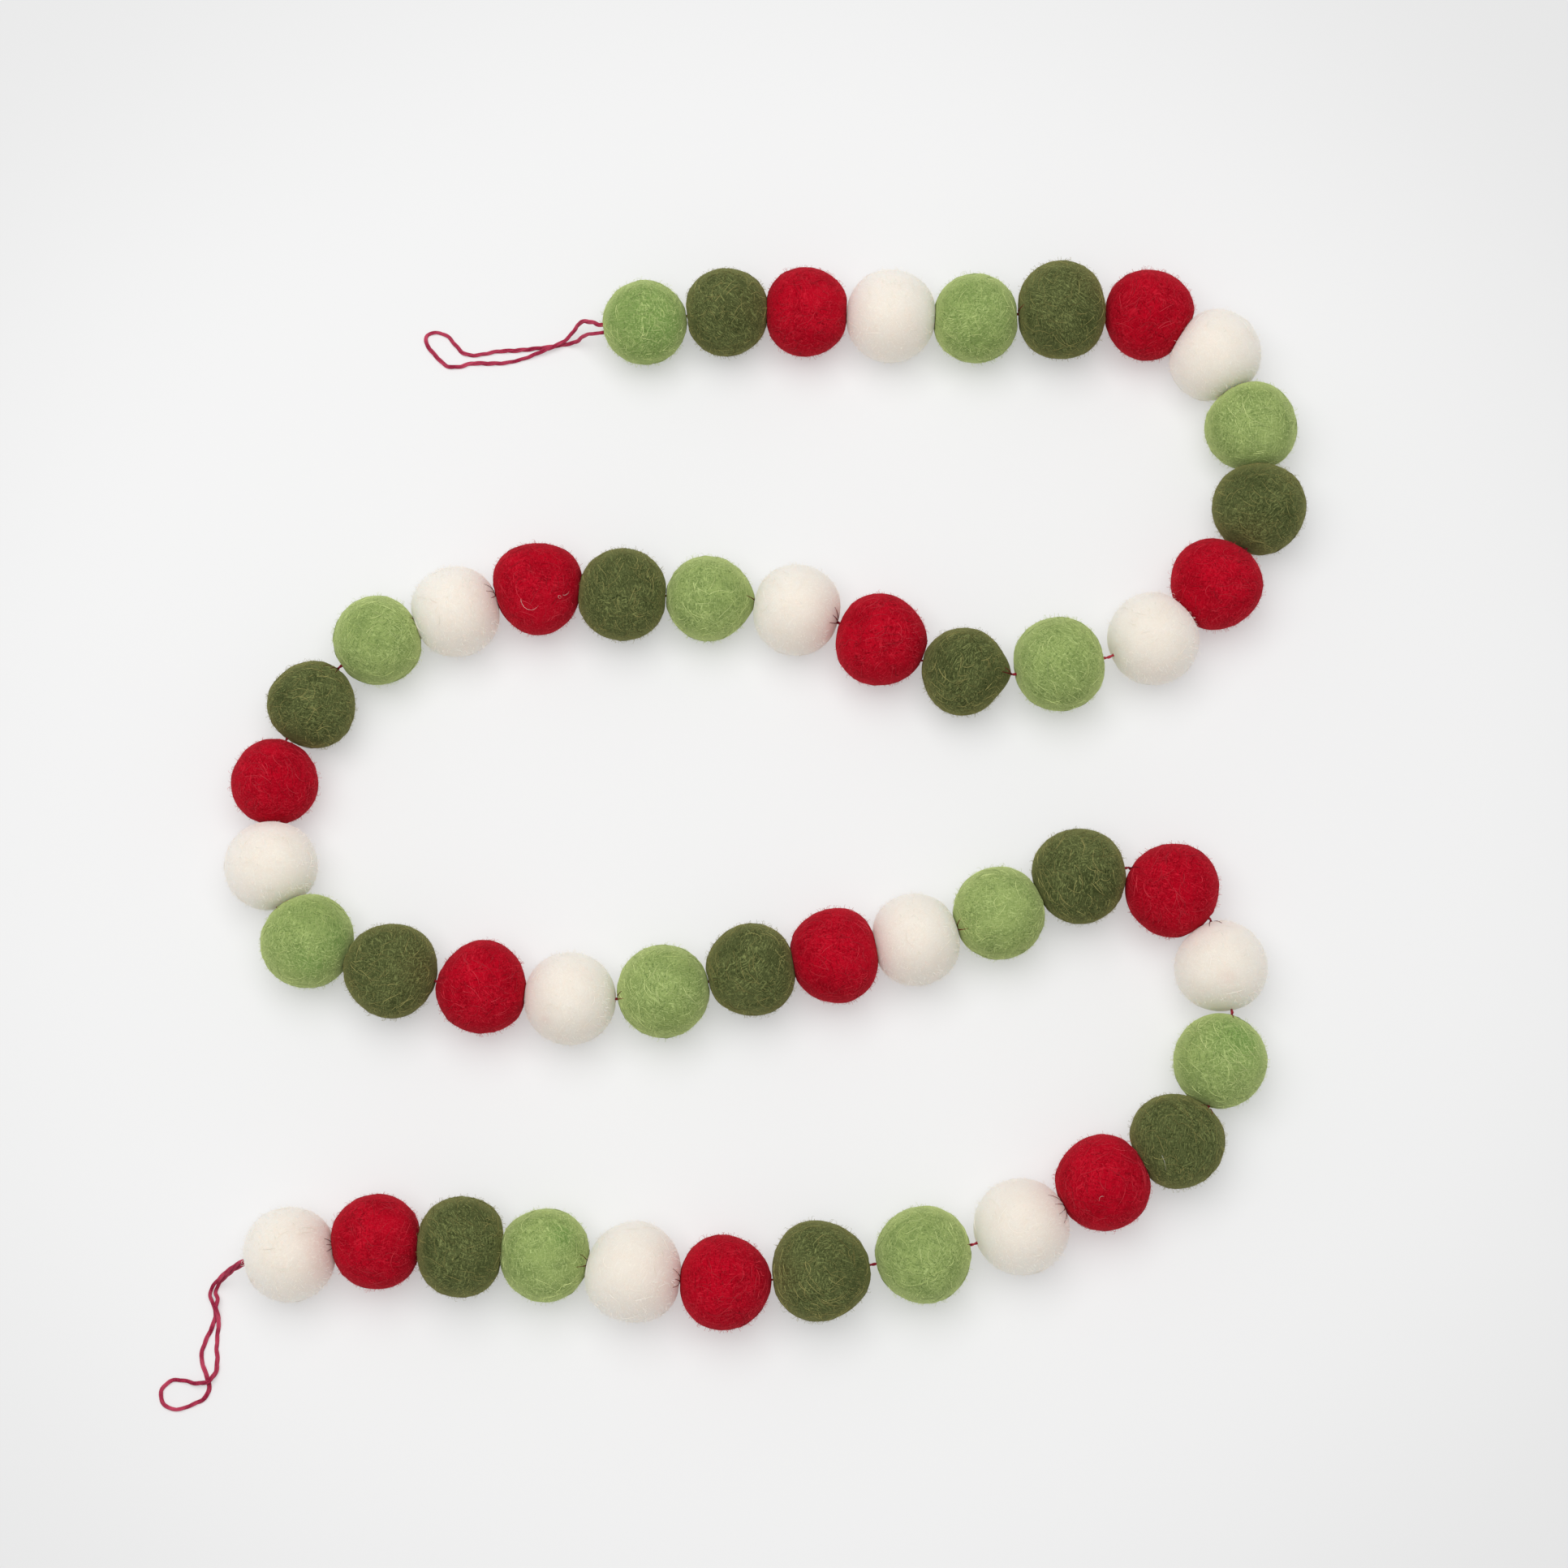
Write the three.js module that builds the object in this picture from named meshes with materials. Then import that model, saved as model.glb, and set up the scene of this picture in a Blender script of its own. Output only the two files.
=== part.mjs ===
// A garland of wool felt balls strung on one thread, lying on a table in four winding rows.
// Each ball is pierced by a needle and pushed along the thread until it presses on the last one,
// so it is a little shorter along the thread than across it. The thread ends in two hanging loops.
// Millimetres. +X is to the right along the rows, +Y up the layout, +Z up from the table.
import * as THREE from 'three';

const THREAD_D = 0.9;       // thread through the balls and in the loops
const THREAD_SIDES = 8;
const HOLE_D = 1.8;         // needle hole through a ball
const APART = 0.3;          // clearance between pieces that touch
const AROUND = 14;          // faces around a ball's needle hole
const RINGS = 6;            // rings of points between the two ends of a hole
const FLAT_BELOW = 1.0;     // felt lower than this lies flat on the table
const LUMP = 0.18;          // unevenness of hand-rolled felt
const LUMP_WAVES = [3.1, 2.4, 2.7, -1.9];   // how closely the lumps follow each other along x, y, z and x
const CORNERS = 3;          // corners that a bulging ball shows from above
const TIP_SPREAD = 1.15;    // how far round a ball the flat flanks of a drawn-out tip go, in radians
const THREAD_SHORT = 1.2;   // the stringing thread stops this far inside the end balls
const LOOP_STEPS = 52;      // steps along a hanging loop

// The colours repeat in this order from the first ball to the last.
const FELTS = [
  { name: 'light_green', color: '#8ea85a' },
  { name: 'dark_green', color: '#4f5a2e' },
  { name: 'red', color: '#a80f1f' },
  { name: 'cream', color: '#e9e1d4' },
];
const THREAD_COLOR = '#96283f';

// One row for each ball, from the first loop to the last: its middle seen from above, its size
// along the thread and across it, how far its outline bulges at three corners, the turn of the
// first corner in degrees from +X, and how far its flanks fall in beside a tip at its near end.
const COLUMNS = ['x', 'y', 'along', 'across', 'bulge', 'turn', 'tip'];
const BALLS = [
  [-37.0, 135.5, 24.5, 24.5, 0.0, 0, 0],
  [-13.0, 138.5, 23.0, 25.5, 0.2, 130, 0],
  [10.0, 138.5, 23.0, 26.0, 0.3, 120, 0],
  [34.5, 137.0, 25.5, 27.0, 0.0, 0, 0],
  [59.0, 136.5, 23.5, 26.0, 0.0, 0, 0],
  [84.0, 138.5, 24.0, 28.5, 0.2, 90, 0],
  [109.5, 137.5, 25.5, 26.5, 0.4, 10, 0],
  [128.0, 125.0, 24.5, 27.0, 0.0, 0, 0],
  [138.0, 103.5, 25.0, 26.5, 0.3, 80, 0],
  [139.5, 79.0, 25.0, 27.0, 0.2, 30, 0],
  [126.5, 56.5, 25.5, 26.5, 0.5, 0, 0],
  [108.5, 40.5, 24.0, 26.5, 0.0, 0, 0],
  [81.5, 33.0, 24.0, 27.0, 0.0, 0, 0],
  [55.0, 31.0, 25.0, 25.0, 0.3, 0, 1.8],
  [31.0, 40.0, 25.0, 26.5, 0.5, 100, 0],
  [7.0, 49.0, 24.0, 26.0, 0.0, 0, 0],
  [-17.5, 52.5, 25.5, 24.5, 0.3, 0, 1.3],
  [-42.5, 53.5, 24.5, 26.5, 0.0, 0, 0],
  [-66.5, 55.5, 24.0, 26.5, 0.7, 30, 0],
  [-90.0, 48.5, 24.0, 26.0, 0.0, 0, 0],
  [-112.0, 40.0, 24.0, 25.5, 0.2, 90, 0],
  [-130.0, 21.5, 24.0, 25.0, 0.5, 60, 0],
  [-140.0, -1.0, 24.0, 24.5, 0.3, 90, 0],
  [-140.0, -25.0, 24.0, 26.0, 0.0, 0, 0],
  [-129.0, -46.5, 25.0, 26.5, 0.2, 80, 0],
  [-106.0, -54.5, 26.0, 26.5, 0.6, 40, 0],
  [-80.5, -59.5, 25.0, 26.0, 0.5, 80, 0.7],
  [-56.0, -62.5, 25.5, 26.0, 0.0, 0, 0],
  [-30.0, -60.5, 25.5, 26.0, 0.0, 0, 0],
  [-5.5, -54.5, 24.5, 26.0, 0.2, 80, 0],
  [17.5, -50.5, 24.5, 26.5, 0.5, 60, 0],
  [40.0, -46.0, 23.5, 26.0, 0.0, 0, 0],
  [63.5, -38.5, 25.0, 26.0, 0.0, 0, 0],
  [86.0, -28.0, 25.5, 27.0, 0.2, 40, 0],
  [112.0, -32.0, 26.0, 26.5, 0.3, 45, 0],
  [125.0, -53.5, 25.0, 26.0, 0.3, 90, 0],
  [124.0, -80.0, 26.5, 26.0, 0.2, 0, 0],
  [111.5, -102.0, 25.0, 26.5, 0.2, 20, 0],
  [91.0, -113.5, 25.5, 26.5, 0.2, 80, 0],
  [68.5, -125.5, 26.0, 26.5, 0.0, 0, 0],
  [41.5, -133.0, 26.0, 26.5, 0.2, 60, 0],
  [13.5, -137.5, 26.5, 27.5, 0.7, 0, 0],
  [-12.5, -140.5, 25.0, 26.0, 0.4, 0, 0.8],
  [-37.5, -138.0, 25.5, 27.5, 0.4, 75, 0],
  [-62.0, -133.0, 25.0, 25.5, 0.4, 45, 0],
  [-84.5, -131.0, 23.0, 27.5, 0.0, 0, 0],
  [-108.0, -129.5, 23.5, 26.0, 0.2, 70, 0],
  [-131.5, -133.0, 24.0, 26.0, 0.0, 0, 0],
].map((row) => Object.fromEntries(COLUMNS.map((column, k) => [column, row[k]])));

// Route of each hanging loop: out of the end ball, down to the table, round and back to the ball.
const LOOPS = {
  loop_start: [
    [-50.1, 134.9, 11.7], [-52.5, 136.3, 10.0], [-55.7, 137.4, 7.0], [-57.8, 136.2, 3.8],
    [-60.5, 133.6, 2.3], [-64.1, 131.7, 2.0], [-67.9, 130.2, 1.5], [-72.7, 128.5, 0.6],
    [-78.1, 127.2, 0.5], [-83.6, 127.0, 0.5], [-88.1, 127.0, 0.5], [-91.7, 126.0, 0.5],
    [-95.3, 126.2, 0.5], [-97.9, 128.5, 0.5], [-100.1, 131.0, 0.5], [-101.6, 133.5, 0.5],
    [-101.2, 135.8, 0.5], [-98.6, 136.5, 0.5], [-95.5, 135.5, 0.5], [-93.0, 132.7, 0.5],
    [-90.6, 130.2, 0.5], [-87.7, 129.5, 0.5], [-84.1, 130.0, 0.5], [-80.6, 130.7, 0.5],
    [-75.1, 131.0, 0.5], [-69.4, 131.6, 0.5], [-64.2, 132.3, 0.5], [-60.6, 132.8, 0.7],
    [-57.4, 133.0, 2.5], [-54.8, 133.6, 6.0], [-52.0, 133.0, 9.5], [-50.0, 132.7, 10.7],
  ],
  loop_end: [
    [-144.2, -134.4, 11.9], [-146.7, -135.5, 9.8], [-149.9, -137.3, 6.5], [-152.6, -139.4, 3.7],
    [-154.0, -141.2, 2.6], [-154.7, -143.2, 1.8], [-154.2, -145.2, 1.0], [-153.3, -147.4, 0.5],
    [-153.4, -150.0, 0.5], [-154.5, -153.1, 0.5], [-156.0, -156.6, 0.5], [-156.7, -160.1, 0.5],
    [-155.7, -163.7, 0.5], [-154.5, -166.9, 0.5], [-154.4, -169.6, 0.5], [-156.1, -171.8, 0.5],
    [-158.5, -172.9, 0.5], [-162.0, -174.2, 0.5], [-165.1, -173.9, 0.5], [-167.2, -171.8, 0.5],
    [-167.1, -168.7, 0.5], [-164.5, -166.5, 0.5], [-161.4, -166.5, 0.6], [-157.7, -167.3, 1.4],
    [-154.3, -166.7, 2.0], [-152.5, -164.1, 1.0], [-152.3, -161.0, 0.5], [-152.6, -157.5, 0.5],
    [-152.4, -153.1, 0.5], [-152.2, -150.0, 1.0], [-152.9, -147.0, 2.1], [-152.6, -144.4, 2.0],
    [-153.4, -142.4, 0.7], [-152.2, -140.5, 1.2], [-149.9, -138.6, 4.4], [-146.9, -136.8, 8.2],
    [-144.1, -135.8, 10.4],
  ],
};

const UP = new THREE.Vector3(0, 0, 1);
const HALF_STEP = Math.PI / AROUND;
const RING_STEP = Math.PI / (RINGS + 1);
// A ball of many flat faces lies on the lowest one, so its middle is this much of a radius up.
const REST_HEIGHT = Math.cos(HALF_STEP);
// The two middle rings stand a little off a ball's waist, and carry its full width.
const WIDEST = Math.sin(RING_STEP * (RINGS / 2));

// Places every ball on the table and finds which way its needle hole runs.
function placeBalls(rows) {
  const balls = rows.map((row, k) => ({
    ...row,
    felt: FELTS[k % FELTS.length],
    number: k + 1,
    middle: new THREE.Vector3(row.x, row.y, REST_HEIGHT * row.across / 2),
  }));
  balls.forEach((ball, k) => {
    const before = balls[Math.max(k - 1, 0)].middle;
    const after = balls[Math.min(k + 1, balls.length - 1)].middle;
    ball.heading = after.clone().sub(before).setZ(0).normalize();
  });
  return balls;
}

// A ball's pole: where the thread enters it from the ball before (-1) or leaves for the next one (+1).
function pole(ball, side) {
  return ball.middle.clone().addScaledVector(ball.heading, side * ball.along / 2);
}

// The thread's corners: one halfway between each pair of facing poles, and one inside each end ball.
function threadCorners(balls) {
  const first = balls[0];
  const last = balls[balls.length - 1];
  const corners = [pole(first, -1).addScaledVector(first.heading, THREAD_SHORT)];
  for (let k = 1; k < balls.length; k += 1) {
    corners.push(pole(balls[k - 1], 1).lerp(pole(balls[k], -1), 0.5));
  }
  corners.push(pole(last, 1).addScaledVector(last.heading, -THREAD_SHORT));
  return corners;
}

// Outline of half a ball, round but pressed short along its needle hole, with the wall of the hole
// closing it. Beside a drawn-out tip the felt is flat instead of round.
function ballProfile(ball) {
  const points = [];
  for (let ring = 0; ring <= RINGS + 1; ring += 1) {
    const angle = ring * RING_STEP;
    const radius = Math.max(Math.sin(angle) / WIDEST * ball.across / 2, HOLE_D / 2);
    const flank = angle < TIP_SPREAD ? ball.tip * Math.sin(Math.PI * angle / TIP_SPREAD) ** 2 : 0;
    const round = Math.cos(angle) * Math.max(ball.along, ball.across) / 2;
    const pressed = THREE.MathUtils.clamp(round, -ball.along / 2, ball.along / 2);
    points.push(new THREE.Vector2(radius, flank - pressed));
  }
  points.push(points[0].clone());
  return points;
}

// How far the felt stands out or in at one direction from the ball's middle.
function feltRelief(ball, direction) {
  const level = Math.hypot(direction.x, direction.y);
  const around = Math.atan2(direction.y, direction.x) - THREE.MathUtils.degToRad(ball.turn);
  const corners = ball.bulge * level * Math.cos(CORNERS * around);
  const [wide, deep, high, slant] = LUMP_WAVES;
  const seed = ball.number;
  const lumps = Math.sin(wide * direction.x + deep * direction.y + seed)
    * Math.cos(high * direction.z + slant * direction.x + 2 * seed);
  return corners + LUMP * lumps;
}

// Presses a point back, along the needle hole, behind the face that two neighbours share.
function pressAgainst(point, ball, neighbour, hole) {
  const towards = neighbour.middle.clone().sub(ball.middle);
  const distance = towards.length();
  towards.normalize();
  const face = distance * ball.along / (ball.along + neighbour.along) - APART / 2;
  const past = point.dot(towards) - face;
  if (past > 0) {
    point.addScaledVector(hole, -past / hole.dot(towards));
  }
}

// One felt ball, about its own middle, with its hole on the thread's line from corner to corner.
function feltBall(ball, balls, corners) {
  const entry = corners[ball.number - 1].clone().sub(ball.middle);
  const exit = corners[ball.number].clone().sub(ball.middle);
  const hole = exit.clone().sub(entry).normalize();
  const aside = entry.clone().addScaledVector(hole, -entry.dot(hole));
  const across = hole.clone().cross(UP).normalize();
  const lift = across.clone().cross(hole);
  const profile = ballProfile(ball);
  const geometry = new THREE.LatheGeometry(profile, AROUND, HALF_STEP);
  geometry.applyMatrix4(new THREE.Matrix4().makeBasis(across, hole, lift));
  const points = geometry.attributes.position;
  const point = new THREE.Vector3();
  for (let k = 0; k < points.count; k += 1) {
    const ring = k % profile.length;
    const onRim = ring === 0 || ring > RINGS;
    point.fromBufferAttribute(points, k);
    if (onRim) {
      point.add(aside);
    } else {
      const direction = point.clone().normalize();
      point.addScaledVector(direction, feltRelief(ball, direction));
    }
    if (ball.number > 1) pressAgainst(point, ball, balls[ball.number - 2], hole);
    if (ball.number < balls.length) pressAgainst(point, ball, balls[ball.number], hole);
    if (point.z + ball.middle.z < FLAT_BELOW) point.z = -ball.middle.z;
    points.setXYZ(k, point.x, point.y, point.z);
  }
  return geometry;
}

// A route with straight stretches between its corners, one step from corner to corner.
class CornerPath extends THREE.Curve {
  constructor(corners) {
    super();
    this.corners = corners;
  }

  getPoint(t) {
    const place = t * (this.corners.length - 1);
    const from = Math.min(Math.floor(place), this.corners.length - 2);
    return this.corners[from].clone().lerp(this.corners[from + 1], place - from);
  }

  getPointAt(u) {
    return this.getPoint(u);
  }

  getTangentAt(u) {
    const place = Math.round(u * (this.corners.length - 1));
    const before = this.corners[Math.max(place - 1, 0)];
    const here = this.corners[place];
    const after = this.corners[Math.min(place + 1, this.corners.length - 1)];
    const arriving = here.clone().sub(before).normalize();
    const leaving = after.clone().sub(here).normalize();
    return arriving.add(leaving).normalize();
  }
}

// A round thread along a route.
function thread(path, steps) {
  const section = new THREE.Shape();
  for (let side = 0; side < THREAD_SIDES; side += 1) {
    const angle = side * 2 * Math.PI / THREAD_SIDES;
    const corner = [Math.cos(angle) * THREAD_D / 2, Math.sin(angle) * THREAD_D / 2];
    if (side === 0) section.moveTo(...corner);
    else section.lineTo(...corner);
  }
  return new THREE.ExtrudeGeometry(section, { steps, extrudePath: path, curveSegments: 1 });
}

function piece(name, geometry, color) {
  const material = new THREE.MeshStandardMaterial({ color, roughness: 0.95, metalness: 0 });
  const mesh = new THREE.Mesh(geometry, material);
  mesh.name = name;
  return mesh;
}

const garland = new THREE.Group();
const balls = placeBalls(BALLS);
const corners = threadCorners(balls);

garland.add(piece('thread', thread(new CornerPath(corners), corners.length - 1), THREAD_COLOR));

for (const ball of balls) {
  const name = `ball_${String(ball.number).padStart(2, '0')}`;
  const mesh = piece(name, feltBall(ball, balls, corners), ball.felt.color);
  mesh.position.copy(ball.middle);
  garland.add(mesh);
}

for (const [name, route] of Object.entries(LOOPS)) {
  const path = new THREE.CatmullRomCurve3(route.map((point) => new THREE.Vector3(...point)));
  garland.add(piece(name, thread(path, LOOP_STEPS), THREAD_COLOR));
}

export default garland;
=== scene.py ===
import math

import bmesh
import bpy
import numpy as np
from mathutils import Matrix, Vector, noise
from mathutils.bvhtree import BVHTree


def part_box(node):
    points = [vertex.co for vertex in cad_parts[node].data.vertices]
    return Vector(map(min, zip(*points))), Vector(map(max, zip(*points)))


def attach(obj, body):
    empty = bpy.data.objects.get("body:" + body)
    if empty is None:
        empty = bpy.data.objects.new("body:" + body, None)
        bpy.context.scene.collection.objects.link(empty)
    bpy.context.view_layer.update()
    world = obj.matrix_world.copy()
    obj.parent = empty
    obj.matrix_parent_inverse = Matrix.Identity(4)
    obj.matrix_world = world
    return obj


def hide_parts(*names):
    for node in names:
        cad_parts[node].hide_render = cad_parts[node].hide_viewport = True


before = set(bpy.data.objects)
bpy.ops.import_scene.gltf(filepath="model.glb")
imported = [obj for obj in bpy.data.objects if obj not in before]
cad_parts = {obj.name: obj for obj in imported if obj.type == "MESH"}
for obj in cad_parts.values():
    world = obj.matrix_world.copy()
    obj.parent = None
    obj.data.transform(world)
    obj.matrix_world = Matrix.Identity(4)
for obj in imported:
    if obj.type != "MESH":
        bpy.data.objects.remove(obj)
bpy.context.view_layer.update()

# The view: the garland lies on a table and is seen from nearly straight above,
# with the camera leaning a little towards the last row.
LOOK_AT = Vector((0.0035, -0.0015, 0.012))
CAMERA_DISTANCE = 0.920
CAMERA_LEAN = math.radians(12)
LENS = 75
SENSOR = 36

camera_data = bpy.data.cameras.new("camera")
camera_data.lens = LENS
camera_data.sensor_width = SENSOR
camera = bpy.data.objects.new("camera", camera_data)
camera.location = LOOK_AT + CAMERA_DISTANCE * Vector((0, -math.sin(CAMERA_LEAN), math.cos(CAMERA_LEAN)))
camera.rotation_euler = (CAMERA_LEAN, 0, 0)
bpy.context.collection.objects.link(camera)
bpy.context.scene.camera = camera

# The two hanging loops: stranded crimson cotton of three loose plies. Each comes out of the needle hole
# of an end ball, drops to the table, turns round in a small eye and goes back into the same hole.
MM = 0.001
WELD = 1e-7                 # points nearer than this become one
LOOP_PLIES = 3
LOOP_PLY_D = 0.66 * MM
LOOP_PITCH = 12.0 * MM      # one full twist of the plies
LOOP_STEP = 0.55 * MM
SPAN_STEPS = 12             # fine steps between two points of a route, before they are made even
LOOP_OFFSET = 0.24 * MM     # a ply stands at least this far off the middle of the thread
LOOP_SLACK = 0.16 * MM      # and this much further where the plies part
SLACK_WAVES = (9.3 * MM, 4.1 * MM)
LOOP_BURIED = 2.4 * MM      # both ends run on into the felt by this much
LOOP_BALLS = {"loop_start": "ball_01", "loop_end": "ball_48"}
LOOP_ROUTES = {
    "loop_start": [
        (-50.1, 134.9, 11.7), (-52.5, 136.3, 10.0), (-55.7, 137.4, 7.0), (-57.8, 136.2, 3.8),
        (-60.5, 133.6, 2.3), (-64.1, 131.7, 2.0), (-67.9, 130.2, 1.5), (-72.7, 128.5, 0.6),
        (-78.1, 127.2, 0.5), (-83.6, 127.0, 0.5), (-88.1, 127.0, 0.5), (-91.7, 126.0, 0.5),
        (-95.3, 126.2, 0.5), (-97.9, 128.5, 0.5), (-100.1, 131.0, 0.5), (-101.6, 133.5, 0.5),
        (-101.2, 135.8, 0.5), (-98.6, 136.5, 0.5), (-95.5, 135.5, 0.5), (-93.0, 132.7, 0.5),
        (-90.6, 130.2, 0.5), (-87.7, 129.5, 0.5), (-84.1, 130.0, 0.5), (-80.6, 130.7, 0.5),
        (-75.1, 131.0, 0.5), (-69.4, 131.6, 0.5), (-64.2, 132.3, 0.5), (-60.6, 132.8, 0.7),
        (-57.4, 133.0, 2.5), (-54.8, 133.6, 6.0), (-52.0, 133.0, 9.5), (-50.0, 132.7, 10.7),
    ],
    "loop_end": [
        (-144.2, -134.7, 11.9), (-146.7, -135.8, 9.8), (-149.9, -137.6, 6.5), (-152.6, -139.7, 3.7),
        (-154.0, -141.2, 2.6), (-154.7, -143.2, 1.8), (-154.2, -145.2, 1.0), (-153.3, -147.4, 0.5),
        (-153.4, -150.0, 0.5), (-154.5, -153.1, 0.5), (-156.0, -156.6, 0.5), (-156.7, -160.1, 0.5),
        (-155.7, -163.7, 0.5), (-154.5, -166.9, 0.5), (-154.4, -169.6, 0.5), (-156.1, -171.8, 0.5),
        (-158.5, -172.9, 0.5), (-162.0, -174.2, 0.5), (-165.1, -173.9, 0.5), (-167.2, -171.8, 0.5),
        (-167.1, -168.7, 0.5), (-164.5, -166.5, 0.5), (-161.4, -166.5, 0.6), (-157.7, -167.3, 1.4),
        (-154.3, -166.7, 2.0), (-152.5, -164.1, 1.0), (-152.3, -161.0, 0.5), (-152.6, -157.5, 0.5),
        (-152.4, -153.1, 0.5), (-152.2, -150.0, 1.0), (-152.9, -147.0, 2.1), (-152.6, -144.4, 2.0),
        (-153.4, -142.4, 0.7), (-152.4, -140.2, 1.2), (-149.9, -138.3, 4.4), (-146.9, -136.5, 8.2),
        (-144.1, -135.5, 10.4),
    ],
}


def unit(vectors):
    """Vectors of length one."""
    return vectors / np.maximum(np.linalg.norm(vectors, axis=-1, keepdims=True), 1e-12)


def smooth_route(points, step):
    """A smooth line through given points, in even steps."""
    points = np.vstack([2 * points[0] - points[1], points, 2 * points[-1] - points[-2]])
    line = []
    for p0, p1, p2, p3 in zip(points, points[1:], points[2:], points[3:]):
        knots = np.cumsum([0] + [np.linalg.norm(b - a) ** 0.5 for a, b in ((p0, p1), (p1, p2), (p2, p3))])
        for t in np.linspace(knots[1], knots[2], SPAN_STEPS, endpoint=False):
            def between(a, b, i, j):
                return a + (b - a) * (t - knots[i]) / (knots[j] - knots[i])
            first, second, third = between(p0, p1, 0, 1), between(p1, p2, 1, 2), between(p2, p3, 2, 3)
            line.append(between(between(first, second, 0, 2), between(second, third, 1, 3), 1, 2))
    line = np.array(line + [points[-2]])
    run = np.concatenate([[0], np.cumsum(np.linalg.norm(np.diff(line, axis=0), axis=1))])
    evenly = np.linspace(0, run[-1], int(run[-1] / step) + 1)
    return np.stack([np.interp(evenly, run, line[:, k]) for k in range(3)], axis=1)


def length_of(line):
    """How long a line is."""
    return float(np.linalg.norm(np.diff(line, axis=0), axis=1).sum())


def twisted_plies(line, count, offset, pitch):
    """Plies winding round a line. offset is how far each stands off it, step by step."""
    run = np.concatenate([[0], np.cumsum(np.linalg.norm(np.diff(line, axis=0), axis=1))])
    tangent = unit(np.gradient(line, axis=0))
    level = unit(np.cross(tangent, [0.0, 0.0, 1.0]))
    rise = np.cross(level, tangent)
    plies = []
    for ply in range(count):
        angle = 2 * math.pi * (run / pitch + ply / count)[:, None]
        plies.append(line + offset[:, None] * (np.cos(angle) * level + np.sin(angle) * rise))
    return plies


def tube_mesh(name, lines, thick):
    """Round strands along several lines as one closed mesh. thick gives each line's width, step by step."""
    curve = bpy.data.curves.new(name, "CURVE")
    curve.dimensions = "3D"
    curve.bevel_depth = 1.0
    curve.bevel_resolution = 2
    curve.use_fill_caps = True
    for line, width in zip(lines, thick):
        spline = curve.splines.new("POLY")
        spline.points.add(len(line) - 1)
        spline.points.foreach_set("co", np.column_stack([line, np.ones(len(line))]).ravel())
        spline.points.foreach_set("radius", np.broadcast_to(np.asarray(width) / 2, len(line)).copy())
    holder = bpy.data.objects.new(name + "_curve", curve)
    bpy.context.collection.objects.link(holder)
    bpy.context.view_layer.update()
    mesh = bpy.data.meshes.new_from_object(holder.evaluated_get(bpy.context.evaluated_depsgraph_get()))
    bpy.data.objects.remove(holder)
    shape = bmesh.new()
    shape.from_mesh(mesh)
    bmesh.ops.remove_doubles(shape, verts=shape.verts, dist=WELD)
    bmesh.ops.recalc_face_normals(shape, faces=shape.faces)
    shape.to_mesh(mesh)
    shape.free()
    mesh.name = name
    for polygon in mesh.polygons:
        polygon.use_smooth = True
    return mesh


def new_piece(name, mesh, material, slot, *replaced):
    """Puts a finished mesh in the scene, on the one body of the garland."""
    piece = bpy.data.objects.new(name, mesh)
    bpy.context.collection.objects.link(piece)
    mesh.materials.clear()
    mesh.materials.append(material)
    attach(piece, "root")
    if replaced:
        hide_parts(*replaced)
    return piece


def shade(red, green, blue):
    """A colour as it looks on a screen, 0 to 255, turned into light."""
    parts = [c / 255 for c in (red, green, blue)]
    return tuple(c / 12.92 if c < 0.04045 else ((c + 0.055) / 1.055) ** 2.4 for c in parts) + (1.0,)


def add_node(tree, kind, settings=None, **sockets):
    """Adds a node. Each socket, named by its label with _ for a space, takes a value or another socket."""
    made = tree.nodes.new(kind)
    for key, value in (settings or {}).items():
        setattr(made, key, value)
    for key, value in sockets.items():
        label = key.replace("_", " ")
        socket = made.inputs[int(label[1:])] if label[1:].isdigit() else made.inputs[label]
        if isinstance(value, bpy.types.NodeSocket):
            tree.links.new(value, socket)
        else:
            socket.default_value = value
    return made


def mix_colours(tree, amount, first, second):
    """One colour turning into another as amount goes from 0 to 1."""
    made = add_node(tree, "ShaderNodeMix", {"data_type": "RGBA"})
    for socket, value in ((made.inputs[0], amount), (made.inputs[6], first), (made.inputs[7], second)):
        if isinstance(value, bpy.types.NodeSocket):
            tree.links.new(value, socket)
        else:
            socket.default_value = value
    return made.outputs[2]


def new_material(name, roughness, sheen, sheen_colour):
    """A matt fibre finish. Gives the material, its node tree and its shader."""
    material = bpy.data.materials.new(name)
    material.use_nodes = True
    shader = material.node_tree.nodes["Principled BSDF"]
    shader.inputs["Roughness"].default_value = roughness
    shader.inputs["Specular IOR Level"].default_value = 0.05
    shader.inputs["Sheen Weight"].default_value = sheen
    shader.inputs["Sheen Roughness"].default_value = 0.5
    shader.inputs["Sheen Tint"].default_value = sheen_colour
    return material, material.node_tree, shader


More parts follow.
